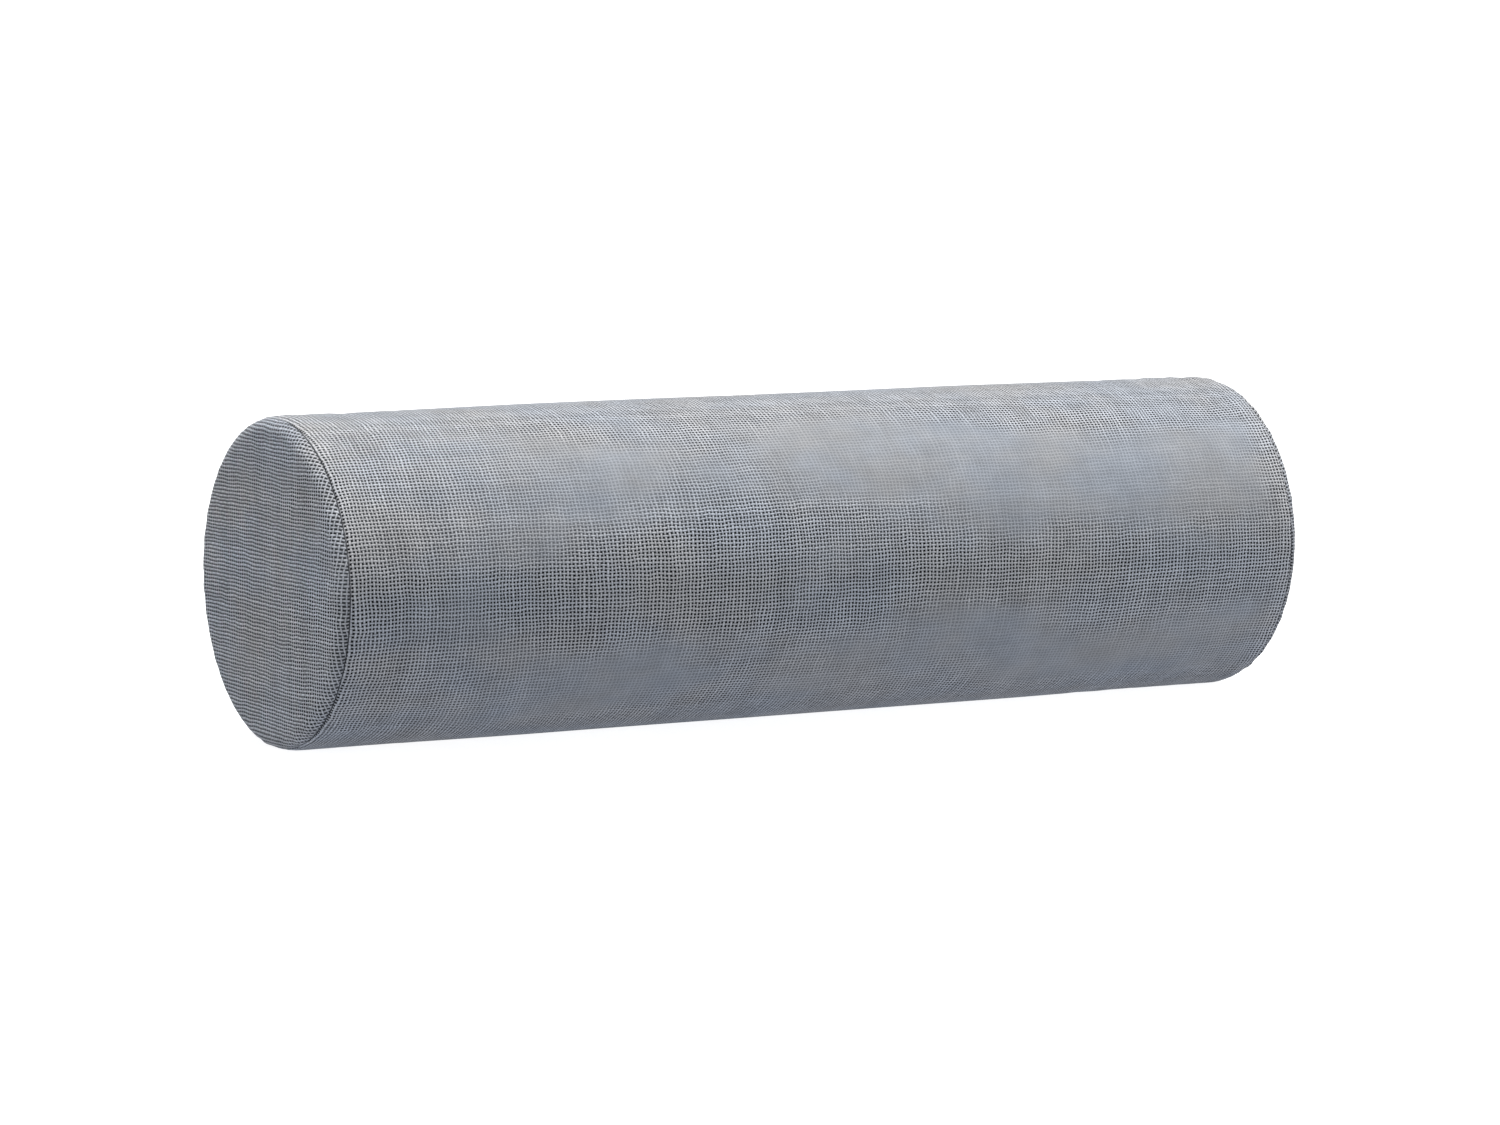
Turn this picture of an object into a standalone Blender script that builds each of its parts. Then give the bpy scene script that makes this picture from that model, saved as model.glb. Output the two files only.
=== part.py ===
"""Foam roller with a removable, zipped fabric cover.

The roller lies along X on a slightly flattened patch of its underside. The origin is the centre
of that patch, +Z is up, and the zip runs along the back, at +Y. All sizes are in metres. Places
of the parts are given from the roller's own axis, which is AXIS_HEIGHT above the origin.
"""

import math

import bmesh
import bpy

# Outside of the roller
LENGTH = 0.510
RADIUS = 0.075
EDGE_RADIUS = 0.007
REST_FLAT_DEPTH = 0.0006
AXIS_HEIGHT = RADIUS - REST_FLAT_DEPTH

# Layers, from the outside in
GAP = 0.0003
COVER_THICKNESS = 0.0012
TAPE_THICKNESS = 0.0006
LINER_THICKNESS = 0.0006
CORE_RADIUS = 0.040
END_FOAM_THICKNESS = 0.008

COVER_INNER = RADIUS - COVER_THICKNESS
TAPE_INNER = COVER_INNER - GAP - TAPE_THICKNESS
LINER_OUTER = TAPE_INNER - GAP
LINER_INNER = LINER_OUTER - LINER_THICKNESS
FOAM_OUTER = LINER_INNER - GAP

END_FACE = LENGTH / 2
LINER_FACE = END_FACE - COVER_THICKNESS - GAP
FOAM_FACE = LINER_FACE - LINER_THICKNESS - GAP
FILLING_HALF = FOAM_FACE - END_FOAM_THICKNESS - GAP

# Centre of the rounding that every layer has at its ends
ROUNDING_RADIUS = RADIUS - EDGE_RADIUS
ROUNDING_X = END_FACE - EDGE_RADIUS

# End seam, on the rounded edge between the body panel and the end panel
SEAM_FROM_FACE = 0.0044
SEAM_ANGLE = math.degrees(math.acos(1 - SEAM_FROM_FACE / EDGE_RADIUS))
SEAM_HALF_ANGLE = 2.0
SEAM_SHOULDER_ANGLE = 5.0
SEAM_DIP = 0.0004
SEAM_THREAD_RADIUS = 0.00025

# Zip: lengths along X, widths along Z, heights along Y
OPENING_LENGTH = 0.400
OPENING_WIDTH = 0.0105
TAPE_LENGTH = 0.410
TAPE_HALF_SPAN = 0.014
COIL_INNER_EDGE = 0.00075
COIL_OUTER_EDGE = 0.0030
COIL_TOP = 0.0754
STOP_LENGTH = 0.0025
STOP_OUTER_EDGE = 0.0032
STOP_TOP = 0.0756
BOTTOM_STOP_X = -0.1972
TOP_STOP_X = 0.1931
STITCH_LENGTH = 0.404
STITCH_OFFSET = 0.0078
STITCH_WIDTH = 0.0006
STITCH_HEIGHT = 0.0004
TACK_LENGTH = 0.0018
TACK_HALF_SPAN = 0.006

# Slider, at rest against the top stops
SLIDER_X = 0.187
SLIDER_LENGTH = 0.0115
SLIDER_WIDTH = 0.0082
CHANNEL_WIDTH = 0.0068
BASE_BOTTOM = 0.0713
BASE_TOP = 0.0724
FLANGE_FOOT = 0.0739
CHANNEL_ROOF = 0.0757
SLIDER_TOP = 0.0768
SLIDER_CORNER = 0.0016
POST_WIDTH = 0.0009
POST_LENGTH = 0.0024
BRIDGE_LENGTH = 0.0070
BRIDGE_WIDTH = 0.0018
BRIDGE_EYE_LENGTH = 0.0046
BRIDGE_EYE_TOP = 0.0784
BRIDGE_TOP = 0.0794
JOIN_OVERLAP = 0.0004

# Recess that the soft filling leaves for the slider's base plate
RECESS_HALF_LENGTH = 0.197
RECESS_HALF_WIDTH = 0.0046
RECESS_FLOOR = 0.0710

# Pull tab, hinged on its end bar in the slider's bridge
PIN_Y = 0.0776
TAB_THICKNESS = 0.0010
TAB_WIDTH = 0.0064
TAB_LENGTH = 0.030
TAB_CORNER = 0.0012
TAB_BAR = 0.0010
TAB_EYE_LENGTH = 0.0038
TAB_EYE_WIDTH = 0.0026
GRIP_HOLE_LENGTH = 0.011
GRIP_HOLE_WIDTH = 0.0026
GRIP_HOLE_MARGIN = 0.0030

ROUND_STEPS = 64
COVER_EDGE_STEPS = 5
INNER_EDGE_STEPS = 3
CORNER_STEPS = 4
CUTTER_REACH = 0.02
SIDES = {"left": -1, "right": 1}
EDGES = {"lower": -1, "upper": 1}


# Scene, materials and the ways that shapes are made


def clear_scene():
    for item in list(bpy.data.objects):
        bpy.data.objects.remove(item)


def new_collection(name):
    collection = bpy.data.collections.new(name)
    bpy.context.scene.collection.children.link(collection)
    return collection


def new_empty(name, location, parent=None):
    """A guide that parts hang on, which is not a part itself."""
    empty = bpy.data.objects.new(name, None)
    bpy.context.scene.collection.objects.link(empty)
    empty.location = location
    empty.parent = parent
    return empty


def new_material(name, colour, roughness, metallic=0.0):
    material = bpy.data.materials.new(name)
    material.use_nodes = True
    shader = material.node_tree.nodes["Principled BSDF"]
    shader.inputs["Base Color"].default_value = (*colour, 1.0)
    shader.inputs["Roughness"].default_value = roughness
    shader.inputs["Metallic"].default_value = metallic
    return material


clear_scene()
PARTS = new_collection("foam_roller")
TOOLS = new_collection("tools")


def place(name, data, parent, material=None):
    """Makes an object of mesh or curve data. One with no material is a tool for cuts and joins."""
    piece = bpy.data.objects.new(name, data)
    piece.parent = parent
    if material:
        PARTS.objects.link(piece)
        data.materials.append(material)
    else:
        TOOLS.objects.link(piece)
        piece.hide_render = True
        piece.display_type = "WIRE"
    return piece


def mesh_from(name, shape):
    mesh = bpy.data.meshes.new(name)
    shape.to_mesh(mesh)
    shape.free()
    return mesh


def boolean(piece, tool, operation="DIFFERENCE"):
    modifier = piece.modifiers.new(tool.name, "BOOLEAN")
    modifier.operation = operation
    modifier.solver = "EXACT"
    modifier.object = tool


def turned(name, outline, parent, material=None, closed=False):
    """Turns an outline of (radius, x) points about X. Its outer side runs from +X to -X."""
    shape = bmesh.new()
    points = [shape.verts.new((radius, 0.0, x)) for radius, x in outline]
    for first, second in zip(points, points[1:]):
        shape.edges.new((first, second))
    if closed:
        shape.edges.new((points[-1], points[0]))
    piece = place(name, mesh_from(name, shape), parent, material)
    piece.rotation_euler = (0.0, math.radians(90), 0.0)
    screw = piece.modifiers.new("Turn", "SCREW")
    screw.steps = ROUND_STEPS
    screw.render_steps = ROUND_STEPS
    screw.use_merge_vertices = True
    screw.merge_threshold = 0.00001
    return piece


def turned_end(name, side, outline, parent, material, closed=False):
    """A turned piece of the right end, faced about when it belongs to the left one."""
    piece = turned(f"{name}_{side}", outline, parent, material, closed)
    piece.rotation_euler = (0.0, math.radians(90) * SIDES[side], 0.0)
    return piece


def block(name, low, high, parent, material=None, bevel=0.0):
    """A box between two corners, with its edges rounded where a bevel is given."""
    shape = bmesh.new()
    bmesh.ops.create_cube(shape, size=1.0)
    size = [top - bottom for bottom, top in zip(low, high)]
    bmesh.ops.scale(shape, vec=size, verts=shape.verts)
    piece = place(name, mesh_from(name, shape), parent, material)
    piece.location = [(bottom + top) / 2 for bottom, top in zip(low, high)]
    if bevel:
        rounding = piece.modifiers.new("Rounding", "BEVEL")
        rounding.width = bevel
        rounding.segments = 2
    return piece


def curved_strip(name, radius, thickness, z_edges, x_ends, parent, material):
    """A strip that lies round the back of the roller, with its inner side at the radius."""
    start, stop = [math.asin(z / radius) for z in sorted(z_edges)]
    steps = max(1, round((stop - start) / math.tau * ROUND_STEPS * 2))
    angles = [start + (stop - start) * step / steps for step in range(steps + 1)]
    near, far = x_ends
    shape = bmesh.new()
    row = [shape.verts.new((near, radius * math.cos(a), radius * math.sin(a))) for a in angles]
    rails = [shape.edges.new(pair) for pair in zip(row, row[1:])]
    swept = bmesh.ops.extrude_edge_only(shape, edges=rails)["geom"]
    far_row = [item for item in swept if isinstance(item, bmesh.types.BMVert)]
    bmesh.ops.translate(shape, vec=(far - near, 0.0, 0.0), verts=far_row)
    for face in shape.faces:
        face.normal_update()
        if face.normal.y < 0.0:
            face.normal_flip()
    piece = place(name, mesh_from(name, shape), parent, material)
    solid = piece.modifiers.new("Thickness", "SOLIDIFY")
    solid.thickness = thickness
    solid.offset = 1.0
    return piece


def rounded_rectangle(x_ends, half_width, corner):
    """Outline of a flat plate or of a hole in it, as (x, z) points."""
    low, high = x_ends
    centres = [
        (high - corner, half_width - corner, 0),
        (low + corner, half_width - corner, 90),
        (low + corner, corner - half_width, 180),
        (high - corner, corner - half_width, 270),
    ]
    outline = []
    for x, z, start in centres:
        for step in range(CORNER_STEPS + 1):
            angle = math.radians(start + 90 * step / CORNER_STEPS)
            outline.append((x + corner * math.cos(angle), z + corner * math.sin(angle)))
    return outline


def flat_plate(name, outlines, thickness, parent, material=None):
    """A plate that faces Y: the first outline is its edge and the others are holes."""
    curve = bpy.data.curves.new(name, "CURVE")
    curve.dimensions = "2D"
    curve.fill_mode = "BOTH"
    curve.extrude = thickness / 2
    for outline in outlines:
        spline = curve.splines.new("POLY")
        spline.points.add(len(outline) - 1)
        spline.use_cyclic_u = True
        for point, (x, z) in zip(spline.points, outline):
            point.co = (x, z, 0.0, 1.0)
    plate = place(name, curve, parent, material)
    plate.rotation_euler = (math.radians(90), 0.0, 0.0)
    return plate


def edge_point(side_reach, face_reach, degrees):
    """A point of the roller's rounded edge, from its end face at 0 degrees to its side at 90."""
    angle = math.radians(degrees)
    radius = ROUNDING_RADIUS + side_reach * math.sin(angle)
    return (radius, ROUNDING_X + face_reach * math.cos(angle))


def rounded_edge(side_reach, face_reach, start=0.0, stop=90.0, steps=INNER_EDGE_STEPS):
    angles = [start + (stop - start) * step / steps for step in range(steps + 1)]
    return [edge_point(side_reach, face_reach, angle) for angle in angles]


def cylinder_outline(radius, half_length):
    return [(0.0, half_length), (radius, half_length), (radius, -half_length), (0.0, -half_length)]


def recess(name, growth, parent):
    """The recess behind the zip, grown on every side for a layer further in."""
    low = (-RECESS_HALF_LENGTH - growth, RECESS_FLOOR - growth, -RECESS_HALF_WIDTH - growth)
    high = (RECESS_HALF_LENGTH + growth, RADIUS + CUTTER_REACH, RECESS_HALF_WIDTH + growth)
    return block(name, low, high, parent)


# Filling


def make_firm_core(axis, foam):
    turned("firm_core", cylinder_outline(CORE_RADIUS, FILLING_HALF), axis, foam)


def make_foam_sleeve(axis, foam):
    bore = CORE_RADIUS + GAP
    outline = [
        (FOAM_OUTER, FILLING_HALF),
        (FOAM_OUTER, -FILLING_HALF),
        (bore, -FILLING_HALF),
        (bore, FILLING_HALF),
    ]
    sleeve = turned("foam_sleeve", outline, axis, foam, closed=True)
    boolean(sleeve, recess("sleeve_recess", LINER_THICKNESS + GAP, axis))


def make_foam_end(side, axis, foam):
    inner_face = FILLING_HALF + GAP
    outline = [(0.0, FOAM_FACE)]
    outline += rounded_edge(FOAM_OUTER - ROUNDING_RADIUS, FOAM_FACE - ROUNDING_X)
    outline += [(FOAM_OUTER, inner_face), (0.0, inner_face)]
    turned_end("foam_end", side, outline, axis, foam)


# Liner


def make_liner_body(axis, knit):
    """The liner dips into the recess behind the zip, and a notched rod hollows it out."""
    half_length = ROUNDING_X - GAP
    liner = turned("liner_body", cylinder_outline(LINER_OUTER, half_length), axis, knit)
    hollow_outline = cylinder_outline(LINER_INNER, half_length + CUTTER_REACH)
    hollow = turned("liner_hollow", hollow_outline, axis)
    boolean(hollow, recess("liner_inner_recess", LINER_THICKNESS, axis))
    boolean(liner, recess("liner_outer_recess", 0.0, axis))
    boolean(liner, hollow)


def make_liner_end(side, axis, knit):
    inner_face = LINER_FACE - LINER_THICKNESS
    outer = rounded_edge(LINER_OUTER - ROUNDING_RADIUS, LINER_FACE - ROUNDING_X)
    inner = rounded_edge(LINER_INNER - ROUNDING_RADIUS, inner_face - ROUNDING_X)
    outline = [(0.0, LINER_FACE)] + outer + inner[::-1] + [(0.0, inner_face)]
    turned_end("liner_end", side, outline, axis, knit)


# Cover


def make_cover_body(axis, weave):
    """The panel round the roller, with the zip's opening and the flat patch that it rests on."""
    inner_reach = EDGE_RADIUS - COVER_THICKNESS
    lip_reach = EDGE_RADIUS - SEAM_DIP
    lip = SEAM_ANGLE + SEAM_HALF_ANGLE
    outer = [edge_point(lip_reach, lip_reach, lip)]
    outer += rounded_edge(EDGE_RADIUS, EDGE_RADIUS, lip + SEAM_SHOULDER_ANGLE, 90.0, 2)
    inner = rounded_edge(inner_reach, inner_reach, lip, 90.0, 2)
    right_half = inner[::-1] + outer
    left_half = [(radius, -x) for radius, x in reversed(right_half)]
    cover = turned("cover_body", right_half + left_half, axis, weave, closed=True)
    opening_corner = (OPENING_LENGTH / 2, RADIUS + CUTTER_REACH, OPENING_WIDTH / 2)
    opening_low = (-opening_corner[0], COVER_INNER - CUTTER_REACH, -opening_corner[2])
    boolean(cover, block("zip_opening", opening_low, opening_corner, axis))
    floor_low = (-LENGTH, -RADIUS, -RADIUS - CUTTER_REACH)
    boolean(cover, block("rest_flat", floor_low, (LENGTH, RADIUS, -AXIS_HEIGHT), axis))


def make_cover_end(side, axis, weave):
    inner_reach = EDGE_RADIUS - COVER_THICKNESS
    lip_reach = EDGE_RADIUS - SEAM_DIP
    lip = SEAM_ANGLE - SEAM_HALF_ANGLE
    shoulder = lip - SEAM_SHOULDER_ANGLE
    outer = rounded_edge(EDGE_RADIUS, EDGE_RADIUS, 0.0, shoulder, COVER_EDGE_STEPS)
    outer += [edge_point(lip_reach, lip_reach, lip)]
    inner = rounded_edge(inner_reach, inner_reach, lip, 0.0)
    outline = [(0.0, END_FACE)] + outer + inner + [(0.0, END_FACE - COVER_THICKNESS)]
    turned_end("cover_end", side, outline, axis, weave)


def make_end_seam_thread(side, axis, thread):
    """The ring of lockstitch under the groove between the body panel and the end panel."""
    reach = EDGE_RADIUS - COVER_THICKNESS - GAP - SEAM_THREAD_RADIUS
    centre_radius, centre_x = edge_point(reach, reach, SEAM_ANGLE)
    outline = []
    for corner in range(4):
        angle = math.radians(90 * corner)
        radius = centre_radius + SEAM_THREAD_RADIUS * math.sin(angle)
        outline.append((radius, centre_x + SEAM_THREAD_RADIUS * math.cos(angle)))
    turned_end("end_seam_thread", side, outline, axis, thread, closed=True)


# Zip


def z_span(edge, near, far):
    """The Z distances of a piece beside the zip's centre line, in rising order."""
    return sorted((EDGES[edge] * near, EDGES[edge] * far))


def make_zip_tape(edge, axis, tape):
    z_edges = z_span(edge, COIL_INNER_EDGE, TAPE_HALF_SPAN)
    x_ends = (-TAPE_LENGTH / 2, TAPE_LENGTH / 2)
    curved_strip(f"zip_tape_{edge}", TAPE_INNER, TAPE_THICKNESS, z_edges, x_ends, axis, tape)


def make_zip_coil(edge, axis, nylon):
    z_low, z_high = z_span(edge, COIL_INNER_EDGE, COIL_OUTER_EDGE)
    low = (BOTTOM_STOP_X + STOP_LENGTH + GAP, COVER_INNER, z_low)
    high = (TOP_STOP_X - GAP, COIL_TOP, z_high)
    block(f"zip_coil_{edge}", low, high, axis, nylon, bevel=0.0005)


def make_zip_top_stop(edge, axis, metal):
    z_low, z_high = z_span(edge, COIL_INNER_EDGE, STOP_OUTER_EDGE)
    low = (TOP_STOP_X, COVER_INNER, z_low)
    high = (TOP_STOP_X + STOP_LENGTH, STOP_TOP, z_high)
    block(f"zip_top_stop_{edge}", low, high, axis, metal, bevel=0.0004)


def make_zip_bottom_stop(axis, metal):
    low = (BOTTOM_STOP_X, COVER_INNER, -STOP_OUTER_EDGE)
    high = (BOTTOM_STOP_X + STOP_LENGTH, STOP_TOP, STOP_OUTER_EDGE)
    block("zip_bottom_stop", low, high, axis, metal, bevel=0.0004)


def make_zip_topstitch(edge, axis, thread):
    z_edges = z_span(edge, STITCH_OFFSET, STITCH_OFFSET + STITCH_WIDTH)
    x_ends = (-STITCH_LENGTH / 2, STITCH_LENGTH / 2)
    name = f"zip_topstitch_{edge}"
    curved_strip(name, RADIUS + GAP, STITCH_HEIGHT, z_edges, x_ends, axis, thread)


def make_bar_tack(side, axis, thread):
    """Dense stitches across the end of the opening, in the closed stretch of the seam."""
    near = SIDES[side] * (OPENING_LENGTH / 2 + 2 * GAP)
    x_ends = sorted((near, near + SIDES[side] * TACK_LENGTH))
    z_edges = (-TACK_HALF_SPAN, TACK_HALF_SPAN)
    curved_strip(f"bar_tack_{side}", RADIUS + GAP, STITCH_HEIGHT, z_edges, x_ends, axis, thread)


# Slider and pull tab


def make_zip_slider(carriage, metal):
    """A plate with two flanges over the coils, joined by its post to the base plate below."""
    half_length = SLIDER_LENGTH / 2
    half_width = SLIDER_WIDTH / 2
    plan = rounded_rectangle((-half_length, half_length), half_width, SLIDER_CORNER)

    base = flat_plate("slider_base", [plan], BASE_TOP - BASE_BOTTOM, carriage)
    base.location.y = (BASE_TOP + BASE_BOTTOM) / 2
    roof = flat_plate("slider_roof", [plan], SLIDER_TOP - FLANGE_FOOT, carriage)
    roof.location.y = (SLIDER_TOP + FLANGE_FOOT) / 2
    base = as_closed_mesh(base)
    slider = as_closed_mesh(roof, "zip_slider", metal)

    channel_low = (-half_length - CUTTER_REACH, BASE_TOP, -CHANNEL_WIDTH / 2)
    channel_high = (half_length + CUTTER_REACH, CHANNEL_ROOF, CHANNEL_WIDTH / 2)
    boolean(slider, block("slider_channel", channel_low, channel_high, carriage))

    post_end = half_length - SLIDER_CORNER / 2
    post_low = (post_end - POST_LENGTH, BASE_TOP - JOIN_OVERLAP, -POST_WIDTH / 2)
    post_high = (post_end, CHANNEL_ROOF + JOIN_OVERLAP, POST_WIDTH / 2)
    boolean(slider, block("slider_post", post_low, post_high, carriage), "UNION")
    boolean(slider, base, "UNION")
    boolean(slider, make_slider_bridge(carriage), "UNION")


def make_slider_bridge(carriage):
    """The arch on the slider that holds the pull tab's end bar."""
    half_width = BRIDGE_WIDTH / 2
    low = (-BRIDGE_LENGTH / 2, SLIDER_TOP - JOIN_OVERLAP, -half_width)
    high = (BRIDGE_LENGTH / 2, BRIDGE_TOP, half_width)
    bridge = block("slider_bridge", low, high, carriage)
    eye_low = (-BRIDGE_EYE_LENGTH / 2, SLIDER_TOP - CUTTER_REACH, -CUTTER_REACH)
    eye_high = (BRIDGE_EYE_LENGTH / 2, BRIDGE_EYE_TOP, CUTTER_REACH)
    boolean(bridge, block("slider_bridge_eye", eye_low, eye_high, carriage))
    return bridge


def as_closed_mesh(plate, name=None, material=None):
    """Turns a plate's curve into a welded mesh object in the same place."""
    bpy.context.view_layer.update()
    graph = bpy.context.evaluated_depsgraph_get()
    mesh = bpy.data.meshes.new_from_object(plate.evaluated_get(graph))
    shape = bmesh.new()
    shape.from_mesh(mesh)
    bmesh.ops.remove_doubles(shape, verts=shape.verts, dist=0.000001)
    shape.to_mesh(mesh)
    shape.free()
    solid = place(name or f"{plate.name}_solid", mesh, plate.parent, material)
    solid.matrix_world = plate.matrix_world
    bpy.data.objects.remove(plate)
    return solid


def make_zip_pull_tab(carriage, metal):
    """A flat tab. Its end bar, at its own origin, turns in the slider's bridge."""
    bar_end = TAB_BAR / 2
    eye_far = -bar_end - TAB_EYE_LENGTH
    grip_end = bar_end - TAB_LENGTH
    grip_hole = (grip_end + GRIP_HOLE_MARGIN, grip_end + GRIP_HOLE_MARGIN + GRIP_HOLE_LENGTH)
    outlines = [
        rounded_rectangle((grip_end, bar_end), TAB_WIDTH / 2, TAB_CORNER),
        rounded_rectangle((eye_far, -bar_end), TAB_EYE_WIDTH / 2, TAB_BAR / 5),
        rounded_rectangle(grip_hole, GRIP_HOLE_WIDTH / 2, GRIP_HOLE_WIDTH / 2),
    ]
    tab = flat_plate("zip_pull_tab", outlines, TAB_THICKNESS, carriage, metal)
    tab.location.y = PIN_Y


def make_roller():
    foam_firm = new_material("firm_foam", (0.10, 0.10, 0.11), 0.85)
    foam_soft = new_material("soft_foam", (0.72, 0.72, 0.68), 0.9)
    knit = new_material("liner_knit", (0.75, 0.76, 0.77), 0.9)
    weave = new_material("cover_weave", (0.27, 0.29, 0.33), 0.85)
    thread = new_material("sewing_thread", (0.22, 0.24, 0.28), 0.8)
    tape = new_material("zip_tape_weave", (0.20, 0.22, 0.26), 0.85)
    nylon = new_material("zip_nylon", (0.22, 0.24, 0.28), 0.45)
    metal = new_material("zip_metal", (0.55, 0.56, 0.58), 0.35, metallic=1.0)

    axis = new_empty("roller_axis", (0.0, 0.0, AXIS_HEIGHT))
    carriage = new_empty("slider_carriage", (SLIDER_X, 0.0, 0.0), axis)

    make_firm_core(axis, foam_firm)
    make_foam_sleeve(axis, foam_soft)
    make_liner_body(axis, knit)
    make_cover_body(axis, weave)
    make_zip_bottom_stop(axis, metal)
    make_zip_slider(carriage, metal)
    make_zip_pull_tab(carriage, metal)
    for side in SIDES:
        make_foam_end(side, axis, foam_soft)
        make_liner_end(side, axis, knit)
        make_cover_end(side, axis, weave)
        make_end_seam_thread(side, axis, thread)
        make_bar_tack(side, axis, thread)
    for edge in EDGES:
        make_zip_tape(edge, axis, tape)
        make_zip_coil(edge, axis, nylon)
        make_zip_top_stop(edge, axis, metal)
        make_zip_topstitch(edge, axis, thread)


make_roller()
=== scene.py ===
"""Looks of a foam roller in a zipped, woven cover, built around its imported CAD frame.

The roller lies along X. Angles round it start at the zip, at the back (+Y), and rise over the
top. All sizes are in metres. The cover's panels are closed shells of cloth, the zip has real
coils, stitches and a slider, and the filling keeps its CAD shape.
"""

import math

import bmesh
import bpy
import numpy as np
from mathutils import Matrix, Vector


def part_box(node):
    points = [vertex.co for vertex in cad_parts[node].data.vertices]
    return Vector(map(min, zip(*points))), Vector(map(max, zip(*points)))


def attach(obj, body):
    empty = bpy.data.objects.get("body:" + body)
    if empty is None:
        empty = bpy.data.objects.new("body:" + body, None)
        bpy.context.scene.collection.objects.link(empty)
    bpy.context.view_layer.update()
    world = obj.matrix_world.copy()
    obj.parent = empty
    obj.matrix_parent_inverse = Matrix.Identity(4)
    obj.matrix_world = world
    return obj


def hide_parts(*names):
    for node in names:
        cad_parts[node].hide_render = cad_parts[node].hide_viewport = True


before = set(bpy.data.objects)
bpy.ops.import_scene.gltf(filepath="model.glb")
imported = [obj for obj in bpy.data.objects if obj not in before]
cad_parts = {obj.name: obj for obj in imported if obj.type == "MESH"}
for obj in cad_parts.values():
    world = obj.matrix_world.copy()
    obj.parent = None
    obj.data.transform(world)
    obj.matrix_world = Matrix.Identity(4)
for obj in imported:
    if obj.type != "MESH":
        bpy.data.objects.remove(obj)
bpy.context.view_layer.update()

# Places that come from the frame

END_LOW, END_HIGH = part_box("cover_end_right")
BODY_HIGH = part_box("cover_body")[1]
TACK_LOW, TACK_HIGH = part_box("bar_tack_right")
STITCH_LOW, STITCH_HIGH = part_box("zip_topstitch_upper")
THREAD_LOW, THREAD_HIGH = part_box("end_seam_thread_right")
TAPE_LOW, TAPE_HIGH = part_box("zip_tape_upper")
COIL_LOW, COIL_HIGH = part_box("zip_coil_upper")
SLIDER_LOW, SLIDER_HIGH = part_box("zip_slider")
TAB_LOW, TAB_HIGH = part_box("zip_pull_tab")

AXIS_Z = (END_LOW.z + END_HIGH.z) / 2
RADIUS = BODY_HIGH.z - AXIS_Z
CENTRE = Vector((0.0, 0.0, AXIS_Z))

# Cloth of the cover

THICKNESS = 0.0012
EDGE_RADIUS = 0.007
SEAM_DIP = 0.0004
SEAM_DIP_WIDTH = 0.0013
MID_EDGE = EDGE_RADIUS - THICKNESS / 2
ROUNDING_X = END_HIGH.x - EDGE_RADIUS
ROUNDING_RADIUS = RADIUS - EDGE_RADIUS
BODY_LIP = math.acos((BODY_HIGH.x - ROUNDING_X) / (EDGE_RADIUS - SEAM_DIP))
END_LIP = math.acos((END_LOW.x - ROUNDING_X) / (EDGE_RADIUS - THICKNESS))
BODY_HALF = ROUNDING_X + MID_EDGE * (math.pi / 2 - BODY_LIP)
RIM = 0.00045
FLOOR_CLEARANCE = 0.0001
REST_ANGLE = 1.5 * math.pi
REST_HALF = math.sqrt(RADIUS**2 - AXIS_Z**2)
END_CROWN = 0.0005

# Zip opening, and the closed seam that carries on from it to the end seams

TACK_GAP = 0.0006
OPENING_HALF = TACK_LOW.x - TACK_GAP
OPENING_SIDE = 0.00525
CLOSED_SIDE = 0.00045
OPENING_EASE = 0.003
HEM_RISE = 0.00035
HEM_WIDTH = 0.009
HEM_FALL = 0.005

# Stitches through the cover, and the valley that the topstitching pulls

STITCH_PITCH = 0.0032
STITCH_LENGTH = 0.0027
STITCH_RADIUS = 0.0003
STITCH_POINTS = 7
SEAM_STITCH_RADIUS = 0.00022
SEAM_STITCH_DIVE = 0.0002
TOPSTITCH_RISE = 0.00012
TOPSTITCH_DIVE = 0.0005
TOPSTITCH_SWAY = 0.00006
STITCH_Z = (STITCH_LOW.z + STITCH_HIGH.z) / 2 - AXIS_Z
VALLEY_DEPTH = 0.0004
VALLEY_WIDTH = 0.0008
VALLEY_EASE = 0.25

ALONG_X = (1.0, 0.0, 0.0)
ALONG_Y = (0.0, 1.0, 0.0)

random = np.random.default_rng(7)


# Meshes


def linked_object(name, data):
    """A new object, linked to the scene."""
    thing = bpy.data.objects.new(name, data)
    bpy.context.scene.collection.objects.link(thing)
    return thing


def new_object(name, data, material):
    data.materials.append(material)
    return linked_object(name, data)


def mesh_object(name, points, faces, material, corners=None):
    """A smooth mesh whose faces point out. Corners are the cloth coordinates of its face corners."""
    mesh = bpy.data.meshes.new(name)
    mesh.from_pydata(points.tolist(), [], faces)
    if corners is not None:
        layer = mesh.uv_layers.new(name="cloth")
        layer.data.foreach_set("uv", corners.astype(np.float32).ravel())
    shape = bmesh.new()
    shape.from_mesh(mesh)
    bmesh.ops.recalc_face_normals(shape, faces=shape.faces)
    if shape.calc_volume(signed=True) < 0:
        bmesh.ops.reverse_faces(shape, faces=shape.faces)
    shape.to_mesh(mesh)
    shape.free()
    mesh.shade_smooth()
    return new_object(name, mesh, material)


def quads(number):
    """Faces between neighbours of a grid of vertex numbers."""
    corners = [number[..., :-1, :-1], number[..., :-1, 1:], number[..., 1:, 1:], number[..., 1:, :-1]]
    return np.stack(corners, axis=-1).reshape(-1, 4)


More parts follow.
